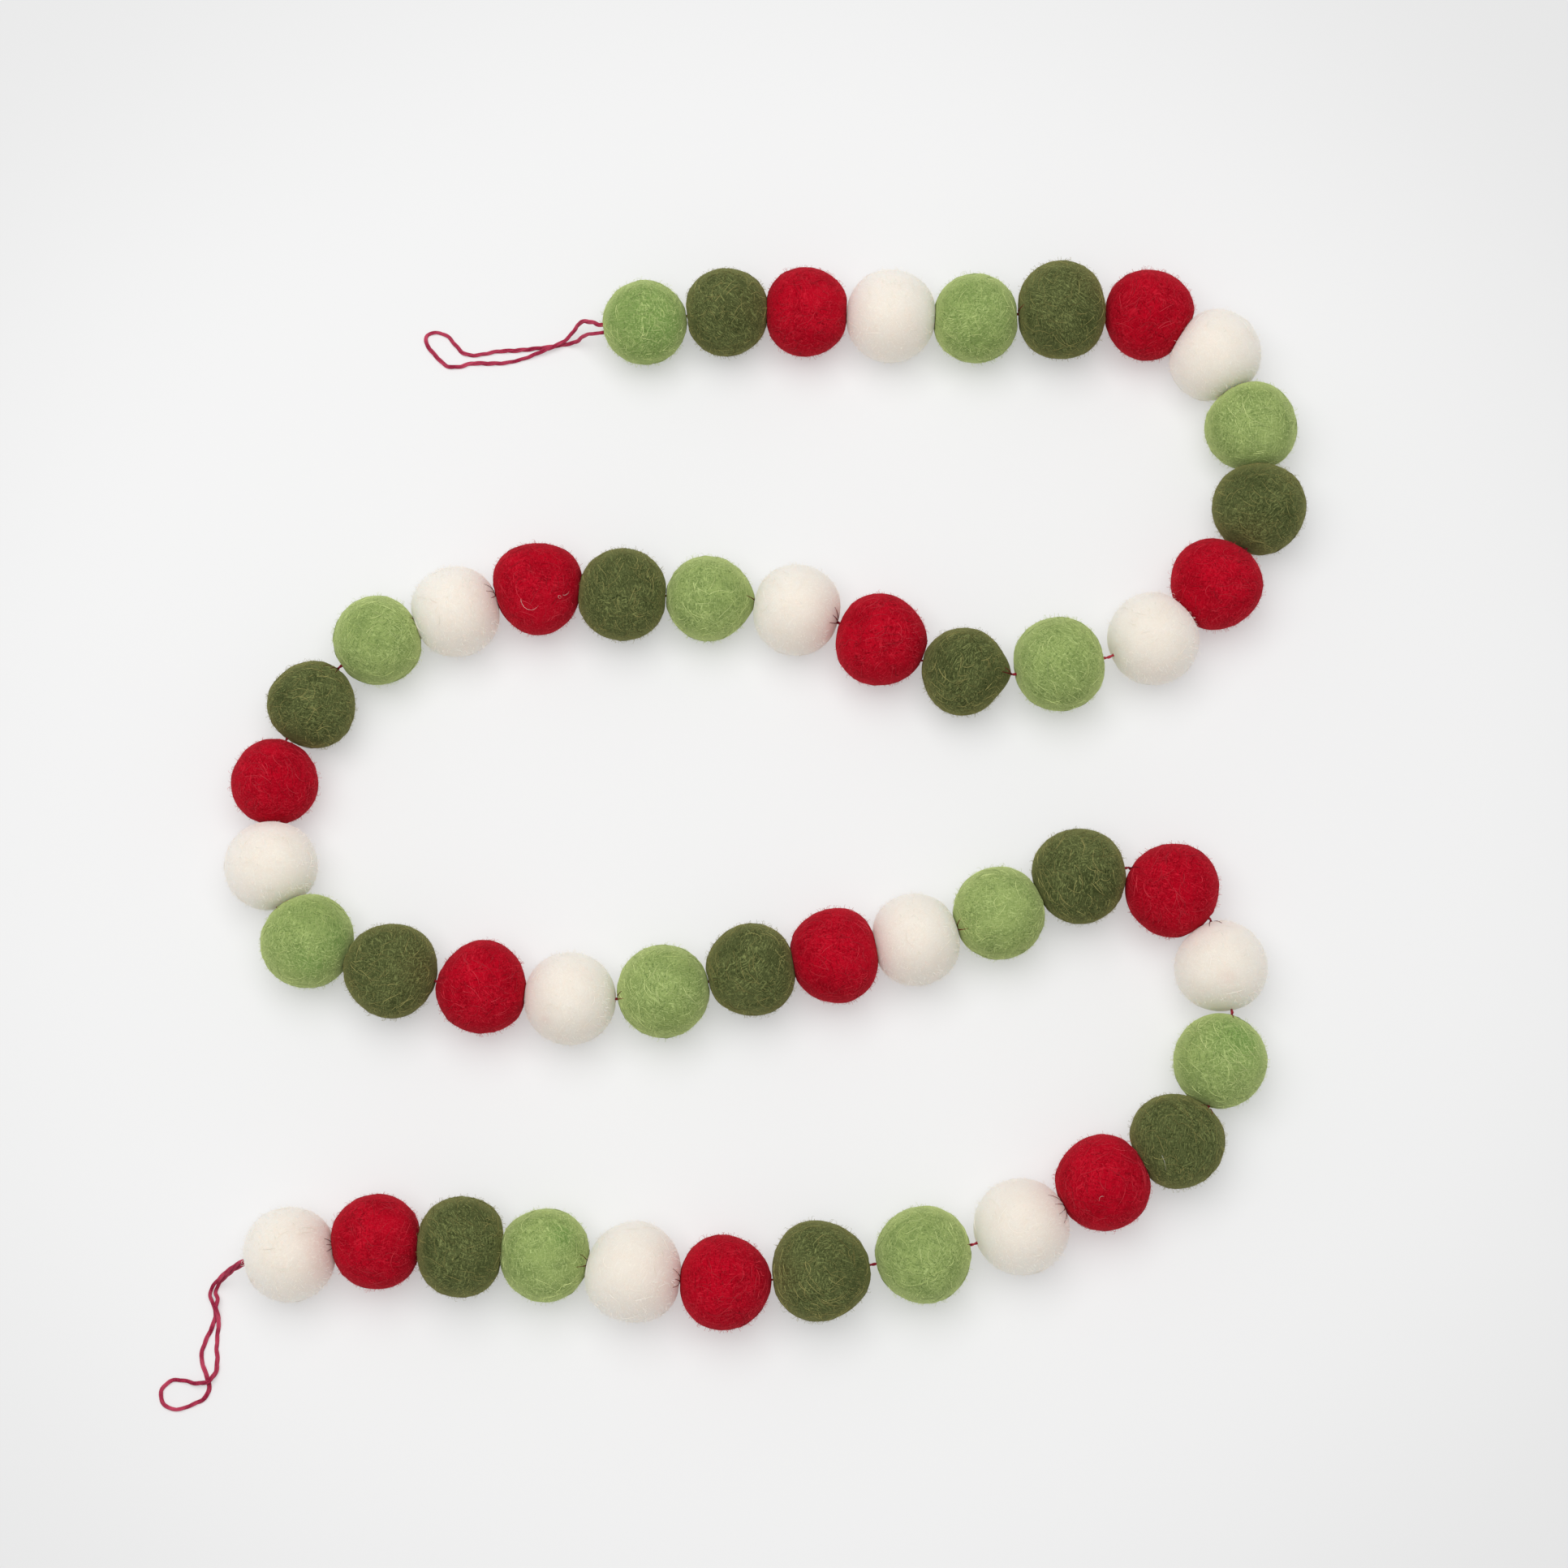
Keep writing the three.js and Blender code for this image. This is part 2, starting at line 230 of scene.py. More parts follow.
def thread_finish(name, dark, body, light):
    """Cotton thread: fine twisted fibres, darker and lighter in random streaks and patches."""
    material, tree, shader = new_material(name, roughness=0.8, sheen=0.25, sheen_colour=shade(255, 190, 200))
    place = add_node(tree, "ShaderNodeTexCoord").outputs["Object"]
    streaks = add_node(tree, "ShaderNodeTexNoise", None, Vector=place, Scale=2600.0, Detail=2.0,
                       Distortion=0.6)
    patches = add_node(tree, "ShaderNodeTexNoise", None, Vector=place, Scale=260.0, Detail=1.0)
    fine = add_node(tree, "ShaderNodeMapRange", None, Value=streaks.outputs["Fac"], From_Min=0.35,
                    From_Max=0.65)
    wide = add_node(tree, "ShaderNodeMapRange", None, Value=patches.outputs["Fac"], From_Min=0.35,
                    From_Max=0.7)
    deep = mix_colours(tree, fine.outputs["Result"], dark, body)
    tree.links.new(mix_colours(tree, wide.outputs["Result"], deep, light), shader.inputs["Base Color"])
    bump = add_node(tree, "ShaderNodeBump", None, Strength=0.5, Distance=0.1 * MM,
                    Height=streaks.outputs["Fac"])
    tree.links.new(bump.outputs["Normal"], shader.inputs["Normal"])
    return material


loop_finish = thread_finish("crimson_loop", shade(128, 20, 48), shade(168, 42, 74), shade(192, 70, 96))
for name, route in LOOP_ROUTES.items():
    route = np.array(route) * MM
    inwards = np.mean(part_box(LOOP_BALLS[name]), axis=0) - route[[0, -1]]
    buried = route[[0, -1]] + LOOP_BURIED * unit(inwards)
    line = smooth_route(np.vstack([buried[0], route, buried[1]]), LOOP_STEP)
    run = np.linspace(0, length_of(line), len(line))
    slack = 0.5 + 0.5 * np.sin(run / SLACK_WAVES[0] + len(route)) * np.sin(run / SLACK_WAVES[1])
    plies = twisted_plies(line, LOOP_PLIES, LOOP_OFFSET + LOOP_SLACK * slack, LOOP_PITCH)
    for ply in plies:
        ply[:, 2] = np.maximum(ply[:, 2], LOOP_PLY_D / 2)
    piece = new_piece("thread_" + name, tube_mesh("thread_" + name, plies, [LOOP_PLY_D] * LOOP_PLIES),
                      loop_finish, "thread_crimson", name)

# The stringing thread: the same crimson cotton, drawn by a needle through every ball in turn.
# It shows only in the gaps between the balls, where it bends from one needle hole to the next.
THREAD_PLIES = 2
THREAD_PLY_D = 0.48 * MM
THREAD_OFFSET = 0.2 * MM
THREAD_PITCH = 3.2 * MM
GAP_REACH = 4.0 * MM        # the thread is fine in its steps this far to both sides of a gap
GAP_STEPS = 15
GAP_SEARCH = 7 * MM         # the thread's corner in a gap lies within this of halfway between two balls
END_OFF = 11 * MM           # the thread's ends lie about this far from the middles of the end balls
END_SEARCH = 3 * MM
BALL_COUNT = 48
BALL_NODES = [f"ball_{number:02d}" for number in range(1, BALL_COUNT + 1)]

middles = np.array([np.mean(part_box(name), axis=0) for name in BALL_NODES])
thread_points = np.array([v.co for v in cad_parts["thread"].data.vertices])


def thread_corner(near, within):
    """The middle of the ring of thread points that lies near a place."""
    ring = thread_points[np.linalg.norm(thread_points - near, axis=1) < within]
    return (ring.min(axis=0) + ring.max(axis=0)) / 2


gaps = [thread_corner((a + b) / 2, GAP_SEARCH) for a, b in zip(middles, middles[1:])]
first_end = thread_corner(middles[0] + unit(middles[0] - gaps[0]) * END_OFF, END_SEARCH)
last_end = thread_corner(middles[-1] + unit(middles[-1] - gaps[-1]) * END_OFF, END_SEARCH)
corners = np.array([first_end] + gaps + [last_end])

thread_line = [corners[0]]
for before, here, after in zip(corners, corners[1:], corners[2:]):
    for t in np.linspace(-1, 1, GAP_STEPS):
        towards = unit(before - here) if t < 0 else unit(after - here)
        thread_line.append(here + towards * abs(t) * GAP_REACH)
thread_line = np.array(thread_line + [corners[-1]])
# Painted shade: the stringing thread gets a darker crimson than the loops, for the shade it lies in between
# the balls.
shaded_thread_finish = thread_finish("crimson_thread_painted_shade", shade(108, 18, 30), shade(160, 40, 54), shade(182, 62, 74))
thread_offset = np.full(len(thread_line), THREAD_OFFSET)
thread_plies = twisted_plies(thread_line, THREAD_PLIES, thread_offset, THREAD_PITCH)
new_piece("stringing_thread", tube_mesh("stringing_thread", thread_plies, [THREAD_PLY_D] * THREAD_PLIES),
          shaded_thread_finish, "thread_crimson", "thread")

# The felt balls: loose wool wetted, soaped and rolled by hand until it felts into a firm ball, then
# pierced and pushed up against the last one. Fibres lie over the surface in swirls and arcs.
FELT_TURNS = ["felt_light_green", "felt_dark_green", "felt_red", "felt_cream"]
# The rim colour with its edge amounts is painted rim light: the felt is painted lighter towards its outline,
# where it turns away from the view.
FELTS = {
    "felt_light_green": {
        "deep": shade(96, 118, 62), "body": shade(149, 168, 99), "strand": shade(184, 202, 130),
        "stain_and_red_bounce": shade(96, 138, 62), "streaks": 1.0, "relief": 1.0, "lumps": 1.0, "sheen": 0.6,
        "painted_rim_light": shade(206, 218, 150), "edge": 0.6, "painted_rim_from": 0.4, "glow": 0.0,
    },
    "felt_dark_green": {
        "deep": shade(44, 52, 24), "body": shade(82, 89, 52), "strand": shade(132, 140, 86),
        "stain_and_red_bounce": shade(84, 66, 38), "streaks": 1.0, "relief": 1.0, "lumps": 1.0, "sheen": 0.5,
        "painted_rim_light": shade(136, 132, 84), "edge": 0.6, "painted_rim_from": 0.4, "glow": 0.0,
    },
    "felt_red": {
        "deep": shade(118, 0, 12), "body": shade(184, 6, 32), "strand": shade(206, 36, 54),
        "stain_and_red_bounce": shade(118, 0, 12), "streaks": 0.9, "relief": 0.9, "lumps": 0.8, "sheen": 0.2,
        "painted_rim_light": shade(214, 60, 72), "edge": 0.3, "painted_rim_from": 0.4, "glow": 0.0,
    },
    "felt_cream": {
        "deep": shade(228, 218, 206), "body": shade(233, 227, 217), "strand": shade(243, 238, 228),
        "stain_and_red_bounce": shade(208, 142, 132), "streaks": 0.5, "relief": 0.2, "lumps": 0.4, "sheen": 0.6,
        "painted_rim_light": shade(252, 246, 238), "edge": 0.7, "painted_rim_from": 0.2, "glow": 1.0,
    },
}
USUAL_R = 12.5              # mm, of a ball of the usual size
OUTSIDE = 50 * MM           # farther from a ball's middle than any of its felt
LUMPS = ((0.08, 330), (0.04, 800))   # height in mm and closeness of the wide and of the small lumps
HOLE_REACH = 1.1 * MM       # felt nearer the needle hole than this is closed over by the felt around it
ROUNDING = 14               # passes that smooth a ball's outline
MOUTH_DEPTH = 0.5 * MM      # the thread draws the felt in by this much where it goes in
MOUTH_WIDTH = 1.1 * MM
PRESS = 0.10 * MM           # felt that presses on the next ball stands this far past its solid
SWELL_SPREAD = 0.6          # radians; felt swells out this far round the spot that presses
FLAT_SPOT = 0.02 * MM
LAY_APART = 0.05            # keeps one ball's pattern of fibres from being the next one's
DRAWN_OUT = (14, 17, 27, 43)   # balls that the thread has drawn out at the first end
TIP_SPREAD = 0.36           # radians
TIP_CORE = 0.12             # radians
TIP_BLUNT = 1.4
STEEPEST = 0.1              # felt that slants more than this away from the next ball isn't pressed by it
GLOW_DEPTH = 10 * MM        # light goes this deep into cream wool
TINTS = {1: 0.4, 5: 0.15, 25: 0.06, 35: 0.12, 7: 0.08}   # balls that are stained all over
STAINS = [  # ball, x and y from its middle in mm, spread in radians, strength
    (1, 6, -5, 0.6, 0.25), (37, 5, 6, 0.6, 0.7), (45, 5.5, 5.5, 0.3, 0.7), (25, 2, -8, 0.35, 0.45),
    (6, 8, 4, 0.45, 0.5), (10, -3, -9, 0.4, 0.35), (42, -10, -2, 0.4, 0.5), (2, 8, -2, 0.5, 0.25),
    (28, -6, -7, 0.12, 0.2), (36, 0, -5, 0.2, 0.12), (25, 10.5, -1.5, 0.35, 0.6), (26, 9, 0, 0.5, 0.4),
]
# Painted reflected light: how strongly each cream ball is tinted pink on the side that faces the red ball
# before it.
PAINTED_RED_BOUNCE = {16: 0.5, 20: 0.5, 32: 0.4, 40: 0.65, 44: 0.65, 48: 0.8}
PAINTED_RED_BOUNCE_ELSEWHERE = 0.25      # painted reflected light: a cream ball is tinted pink on the side that faces the red ball before it
PAINTED_RED_BOUNCE_SPREAD = 0.85


def felt_strand_group():
    """Wool fibres lying in arcs round one axis of a ball: a noise drawn out long, swept aside by a
    slower one, and faded out near the axis, where arcs would close up into patches."""
    group = bpy.data.node_groups.new("felt_strands", "ShaderNodeTree")
    sockets = group.interface
    sockets.new_socket("Lay", in_out="INPUT", socket_type="NodeSocketVector")
    sockets.new_socket("Stretch", in_out="INPUT", socket_type="NodeSocketVector")
    sockets.new_socket("Axis", in_out="INPUT", socket_type="NodeSocketVector")
    sockets.new_socket("Sweep", in_out="INPUT", socket_type="NodeSocketFloat")
    sockets.new_socket("Thinness", in_out="INPUT", socket_type="NodeSocketFloat")
    sockets.new_socket("Strands", in_out="OUTPUT", socket_type="NodeSocketFloat")
    start = group.nodes.new("NodeGroupInput").outputs
    slow = add_node(group, "ShaderNodeTexNoise", None, Vector=start["Lay"], Scale=260.0, Detail=1.0)
    centred = add_node(group, "ShaderNodeVectorMath", {"operation": "SUBTRACT"},
                       i0=slow.outputs["Color"], i1=(0.5, 0.5, 0.5))
    swept = add_node(group, "ShaderNodeVectorMath", {"operation": "SCALE"},
                     i0=centred.outputs[0], Scale=start["Sweep"])
    drawn = add_node(group, "ShaderNodeVectorMath", {"operation": "MULTIPLY_ADD"},
                     i0=start["Lay"], i1=start["Stretch"], i2=swept.outputs[0])
    wool = add_node(group, "ShaderNodeTexNoise", None, Vector=drawn.outputs[0], Scale=1.0, Detail=2.0,
                    Roughness=0.55)
    strands = add_node(group, "ShaderNodeMapRange", {"interpolation_type": "SMOOTHSTEP"},
                       Value=wool.outputs["Fac"], From_Min=start["Thinness"], From_Max=0.72)
    half = add_node(group, "ShaderNodeVectorMath", {"operation": "ADD"}, i0=start["Lay"],
                    i1=(LAY_APART / 2,) * 3)
    ball = add_node(group, "ShaderNodeVectorMath", {"operation": "SNAP"}, i0=half.outputs[0],
                    i1=(LAY_APART,) * 3)
    own = add_node(group, "ShaderNodeVectorMath", {"operation": "SUBTRACT"}, i0=start["Lay"],
                   i1=ball.outputs[0])
    outward = add_node(group, "ShaderNodeVectorMath", {"operation": "NORMALIZE"}, i0=own.outputs[0])
    along = add_node(group, "ShaderNodeVectorMath", {"operation": "DOT_PRODUCT"},
                     i0=outward.outputs[0], i1=start["Axis"])
    near_axis = add_node(group, "ShaderNodeMath", {"operation": "ABSOLUTE"}, i0=along.outputs["Value"])
    fade = add_node(group, "ShaderNodeMapRange", {"interpolation_type": "SMOOTHSTEP"},
                    Value=near_axis.outputs[0], From_Min=0.98, From_Max=0.75)
    kept = add_node(group, "ShaderNodeMath", {"operation": "MULTIPLY"}, i0=strands.outputs["Result"],
                    i1=fade.outputs["Result"])
    end = group.nodes.new("NodeGroupOutput")
    group.links.new(kept.outputs[0], end.inputs["Strands"])
    return group


felt_strands = felt_strand_group()


def felt_finish(name, felt):
    """Matt wool felt: pale and deep fibres over the body colour, mottled, with the fibres in low relief, and
    painted rim light where the felt turns away from the view.
    """
    material, tree, shader = new_material(name, roughness=0.95, sheen=felt["sheen"],
                                          sheen_colour=felt["strand"])
    place = add_node(tree, "ShaderNodeTexCoord").outputs["Object"]
    lay = add_node(tree, "ShaderNodeAttribute", {"attribute_name": "lay"}).outputs["Vector"]

    def lying_strands(axis, closeness, length, thinness):
        stretch = tuple(closeness if part else 1 / length for part in axis)
        return add_node(tree, "ShaderNodeGroup", {"node_tree": felt_strands}, Lay=lay, Stretch=stretch,
                        Axis=axis, Sweep=8.0, Thinness=thinness).outputs["Strands"]

    pale = lying_strands((0, 0, 1), closeness=3600.0, length=2.4 * MM, thinness=0.5)
    fine = lying_strands((1, 0, 0), closeness=4800.0, length=1.7 * MM, thinness=0.48)
    deep = lying_strands((0, 1, 0), closeness=3200.0, length=2.4 * MM, thinness=0.48)
    mottle = add_node(tree, "ShaderNodeTexNoise", None, Vector=place, Scale=170.0, Detail=3.0, Roughness=0.6)
    tint = add_node(tree, "ShaderNodeAttribute", {"attribute_name": "tint"}).outputs["Fac"]
    grain = add_node(tree, "ShaderNodeTexNoise", None, Vector=place, Scale=3600.0, Detail=2.0, Distortion=0.8)

    def part_of(value, low, high, amount):
        return add_node(tree, "ShaderNodeMapRange", None, Value=value, From_Min=low, From_Max=high,
                        To_Max=amount * felt["streaks"]).outputs["Result"]

    colour = mix_colours(tree, part_of(mottle.outputs["Fac"], 0.6, 0.35, 0.5), felt["body"], felt["deep"])
    # The stain colour paints real stains, and on cream balls also the painted pink reflection of the red ball
    # before them.
    colour = mix_colours(tree, tint, colour, felt["stain_and_red_bounce"])
    colour = mix_colours(tree, part_of(grain.outputs["Fac"], 0.55, 0.3, 0.45), colour, felt["deep"])
    colour = mix_colours(tree, part_of(deep, 0.0, 1.0, 0.95), colour, felt["deep"])
    colour = mix_colours(tree, part_of(fine, 0.0, 1.0, 0.65), colour, felt["strand"])
    colour = mix_colours(tree, part_of(pale, 0.0, 1.0, 0.9), colour, felt["strand"])
    # Painted rim light: the colour turns towards the light rim colour where the felt faces away from the
    # view.
    facing = add_node(tree, "ShaderNodeLayerWeight", None, Blend=0.5).outputs["Facing"]
    edge = add_node(tree, "ShaderNodeMapRange", None, Value=facing, From_Min=felt["painted_rim_from"], From_Max=0.95,
                    To_Max=felt["edge"])
    colour = mix_colours(tree, edge.outputs["Result"], colour, felt["painted_rim_light"])
    tree.links.new(colour, shader.inputs["Base Color"])
    strands = add_node(tree, "ShaderNodeMath", {"operation": "ADD"}, i0=pale, i1=fine)
    hollows = add_node(tree, "ShaderNodeMath", {"operation": "SUBTRACT"}, i0=strands.outputs[0], i1=deep)
    height = add_node(tree, "ShaderNodeMath", {"operation": "ADD"}, i0=hollows.outputs[0],
                      i1=grain.outputs["Fac"])
    shader.inputs["Subsurface Weight"].default_value = felt["glow"]
    shader.inputs["Subsurface Radius"].default_value = (1.0, 0.85, 0.75)
    shader.inputs["Subsurface Scale"].default_value = GLOW_DEPTH
    bump = add_node(tree, "ShaderNodeBump", None, Strength=0.5 * felt["relief"], Distance=0.12 * MM,
                    Height=height.outputs[0])
    tree.links.new(bump.outputs["Normal"], shader.inputs["Normal"])
    return material


felt_finishes = {slot: felt_finish(slot, felt) for slot, felt in FELTS.items()}


def rolled_ball(number, lumpiness):
    """A ball of felt over its solid, rounded, lumpy, drawn in at the thread and flat where it presses."""
    middle = middles[number]
    solid = bmesh.new()
    solid.from_mesh(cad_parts[BALL_NODES[number]].data)
    bmesh.ops.remove_doubles(solid, verts=solid.verts, dist=WELD)
    around = BVHTree.FromBMesh(solid)
    solid_points = np.array([v.co for v in solid.verts]) - middle
    solid.free()
    ball = bmesh.new()
    bmesh.ops.create_icosphere(ball, subdivisions=5, radius=1.0)
    turned = unit(np.array([v.co for v in ball.verts]))
    edges = np.array([[v.index for v in e.verts] for e in ball.edges])
    mouths = corners[number:number + 2]
    hole = unit(mouths[1] - mouths[0])

    hits = np.array([around.ray_cast(Vector(middle + d * OUTSIDE), Vector(-d))[0] or middle for d in turned])
    reach = np.linalg.norm(hits - middle, axis=1)
    aside = hits - mouths[0]
    aside -= np.outer(aside @ hole, hole)
    closed = np.linalg.norm(aside, axis=1) > HOLE_REACH
    count = np.zeros(len(turned))
    np.add.at(count, edges.ravel(), 1)

    def neighbours(values):
        total = np.zeros(len(turned))
        np.add.at(total, edges[:, 0], values[edges[:, 1]])
        np.add.at(total, edges[:, 1], values[edges[:, 0]])
        return total

    known = closed.astype(float)
    while known.min() == 0:
        sums, found = neighbours(reach * known), neighbours(known)
        fill = (known == 0) & (found > 0)
        reach[fill] = sums[fill] / found[fill]
        known[fill] = 1
    felt = reach.copy()
    for _ in range(ROUNDING):
        felt = neighbours(felt) / count
    lumps = [sum(height * noise.noise(Vector((middle + d * r) * closeness)) for height, closeness in LUMPS)
             for d, r in zip(turned, felt)]
    felt += np.array(lumps) * lumpiness * MM

    def away_from(direction):
        return np.arccos(np.clip(turned @ unit(direction), -1, 1))

    if number + 1 in DRAWN_OUT:
        off_tip = away_from(mouths[0] - middle)
        core = off_tip < TIP_CORE
        tip = reach[core].max() - felt[core].mean()
        felt += tip * np.exp(-(off_tip / TIP_SPREAD) ** TIP_BLUNT)
    for other in (number - 1, number + 1):
        if 0 <= other < len(middles):
            towards = unit(middles[other] - middle)
            slope = np.maximum(turned @ towards, STEEPEST)
            limit = (solid_points @ towards).max() + PRESS
            short = max(limit - (felt * slope).max(), 0)
            felt += short * np.exp(-(away_from(towards) / SWELL_SPREAD) ** 2)
            felt = np.minimum(felt, limit / slope)
    drawn_in = mouths[1:] if number + 1 in DRAWN_OUT else mouths
    for mouth in drawn_in:
        felt -= MOUTH_DEPTH * np.exp(-(away_from(mouth - middle) * felt / MOUTH_WIDTH) ** 2)
    places = middle + turned * felt[:, None]
    places[:, 2] = np.maximum(places[:, 2], FLAT_SPOT)
    for vertex, place in zip(ball.verts, places):
        vertex.co = place
    for face in ball.faces:
        face.smooth = True
    surface = BVHTree.FromBMesh(ball)
    mesh = bpy.data.meshes.new(f"felt_{BALL_NODES[number]}")
    ball.to_mesh(mesh)
    ball.free()
    turning = np.linalg.qr(roll.normal(size=(3, 3)))[0]
    lay = (places - middle) @ turning.T + number * LAY_APART
    mesh.attributes.new("lay", "FLOAT_VECTOR", "POINT").data.foreach_set("vector", lay.ravel())
    tint = np.full(len(places), TINTS.get(number + 1, 0.0))
    for ball_number, x, y, spread, strength in STAINS:
        if ball_number == number + 1:
            stained = away_from(np.array([x, y, math.sqrt(USUAL_R ** 2 - x * x - y * y)]))
            tint += strength * np.exp(-(stained / spread) ** 2)
    # Painted reflected light: a pink tint on the side of a cream ball that faces the red ball before it.
    if FELT_TURNS[number % len(FELT_TURNS)] == "felt_cream":
        red_bounce = PAINTED_RED_BOUNCE.get(number + 1, PAINTED_RED_BOUNCE_ELSEWHERE)
        tint += red_bounce * np.exp(-(away_from(middles[number - 1] - middle) / PAINTED_RED_BOUNCE_SPREAD) ** 2)
    mesh.attributes.new("tint", "FLOAT", "POINT").data.foreach_set("value", tint)
    return mesh, surface


roll = np.random.default_rng(12)
felt_surfaces = []
for number, node_name in enumerate(BALL_NODES):
    slot = FELT_TURNS[number % len(FELT_TURNS)]
    mesh, surface = rolled_ball(number, FELTS[slot]["lumps"])
    felt_surfaces.append(surface)
    new_piece(mesh.name, mesh, felt_finishes[slot], slot, node_name)

# The loose fibres of the wool: some lie curled on the surface, held by the felt at both ends, and a
# short fuzz stands off it all round. Cream is felted so fine that it shows hardly any.
FUZZ = {
    "felt_light_green": {
        "lying": 225, "standing": 260, "stubble": 1200, "tones": (shade(92, 118, 60), shade(212, 224, 152)),
    },
    "felt_dark_green": {
        "lying": 230, "standing": 260, "stubble": 1200, "tones": (shade(44, 52, 24), shade(166, 160, 100)),
    },
    "felt_red": {
        "lying": 180, "standing": 240, "stubble": 1300, "tones": (shade(120, 2, 16), shade(208, 60, 72)),
    },
    "felt_cream": {
        "lying": 30, "standing": 240, "stubble": 1500, "tones": (shade(228, 218, 204), shade(248, 243, 235)),
    },
}
# Cream fibres caught on other balls: ball, x and y of the curl's middle from the ball's and its radius
# in mm, then where the curl starts and how far it sweeps in degrees.
STRAYS = [
    (19, 7.0, -4.6, 0.4, 20, 330), (19, 7.7, -2.3, 1.7, 270, 80), (19, -0.8, -5.6, 2.7, 180, 140),
    (38, -12.0, -9.0, 8.0, 32, -28), (39, -1.2, -5.4, 0.8, 60, 150),
]
POLE_SPREAD = (0.3, 0.3, 1.0)   # lying fibres go round a pole that is near upright on most balls
LYING_TURN = 0.4            # radians, how far lying fibres stray from going round it
LYING_BEND = 0.22           # radians a step
LYING_WANDER = 0.08
LYING_STRIDE = (0.04, 0.105)   # radians a step
LYING_SUNK = 0.03           # mm, how deep a lying fibre's ends are in the felt
LYING_ARCH = 0.10           # mm, about how far its middle lifts
UNDERSIDE = -0.9            # no hair stands on felt that faces the table more than this
PRESSED = 0.86              # or the next ball more than this
STUBBLE_TALL = (0.25, 1.0)  # mm
STUBBLE_LEAN = (-0.1, 1.0)
HAIR_TALL = (0.35, 1.4)
HAIR_LEAN = (0.3, 1.6)
HAIR_CURL = 0.35
HAIR_ARC = 2.2              # radians, of the rise and fall of a standing hair
ASLANT = (0.36, 0.48, 0.8)  # the sides of a fibre are turned against this direction
FIBRE_D = 0.16 * MM
HAIR_D = 0.09 * MM
LYING_STEPS = 6
STANDING_STEPS = 3
STUBBLE_D = 0.10 * MM
STRAY_D = 0.07 * MM
STRAY_STEPS = 10
draw = np.random.default_rng(48)


def on_felt(number, directions, lift):
    """The places on a ball's felt in some directions from its middle, lifted off it a little."""
    middle = Vector(middles[number])
    flat = directions.reshape(-1, 3)
    hits = [felt_surfaces[number].ray_cast(middle, Vector(d))[0] or middle for d in flat]
    return np.array(hits).reshape(directions.shape) + directions * np.asarray(lift)[..., None]


def lying_fibres(number, amount):
    """Curled fibres that follow the felt, most of them round one pole of the ball."""
    start = unit(draw.normal(size=(amount, 3)))
    pole = unit(draw.normal(size=3) * POLE_SPREAD)
    heading = unit(np.cross(pole, start))
    turn = draw.normal(0, LYING_TURN, amount)
    bend = draw.normal(0, LYING_BEND, amount)
    stride = draw.uniform(*LYING_STRIDE, amount)[:, None]
    track = []
    for step in range(LYING_STEPS):
        track.append(start)
        sideways = np.cross(start, heading)
        heading = unit(heading * np.cos(turn)[:, None] + sideways * np.sin(turn)[:, None])
        start = unit(start + heading * stride)
        heading = unit(heading - start * np.sum(heading * start, axis=1, keepdims=True))
        turn = bend + draw.normal(0, LYING_WANDER, amount)
    track = np.stack(track, axis=1)
    arch = np.sin(np.linspace(0.05, 0.95, LYING_STEPS) * math.pi)
    lift = (LYING_ARCH * draw.uniform(0.6, 1.6, (amount, 1)) * arch - LYING_SUNK) * MM
    return on_felt(number, track, lift)


def open_air(number, amount):
    """Directions off a ball, none of them under it or where the next ball presses, and leans
    square to them."""
    root = unit(draw.normal(size=(amount * 2, 3)))
    free = root[:, 2] > UNDERSIDE
    for other in (number - 1, number + 1):
        if 0 <= other < len(middles):
            free &= root @ unit(middles[other] - middles[number]) < PRESSED
    root = root[free][:amount]
    lean = draw.normal(0, 1, root.shape)
    return root, unit(lean - root * np.sum(lean * root, axis=1, keepdims=True))


def stubble(number, amount):
    """The shortest hairs: straight, from a thin foot on the felt to a point."""
    root, lean = open_air(number, amount)
    tall = draw.uniform(*STUBBLE_TALL, (len(root), 1)) * MM
    point = draw.uniform(*STUBBLE_LEAN, (len(root), 1)) * MM
    foot = on_felt(number, root, np.full(len(root), -0.06 * MM))
    return np.stack([foot, foot + root * tall + lean * point], axis=1)


def standing_fibres(number, amount):
    """Short hairs that lean off the felt and curl."""
    root, lean = open_air(number, amount)
    tall = draw.uniform(*HAIR_TALL, (len(root), 1)) * MM
    long = draw.uniform(*HAIR_LEAN, (len(root), 1)) * MM
    twist = unit(np.cross(root, lean)) * draw.normal(0, HAIR_CURL, (len(root), 1)) * MM
    foot = on_felt(number, root, np.full(len(root), -0.05 * MM))
    track = [foot + root * tall * math.sin(t * HAIR_ARC) + lean * long * t + twist * t * t
             for t in np.linspace(0, 1, STANDING_STEPS)]
    return np.stack(track, axis=1)


def curl(ball_number, x, y, radius, start, sweep):
    """A curled fibre that lies on the top of a ball."""
    turns = np.radians(start + sweep * np.linspace(0, 1, STRAY_STEPS))
    across = np.stack([x + radius * np.cos(turns), y + radius * np.sin(turns)], axis=1)
    above = np.sqrt(USUAL_R ** 2 - np.sum(across ** 2, axis=1))
    return on_felt(ball_number - 1, unit(np.column_stack([across, above])), np.full(STRAY_STEPS, 0.06 * MM))


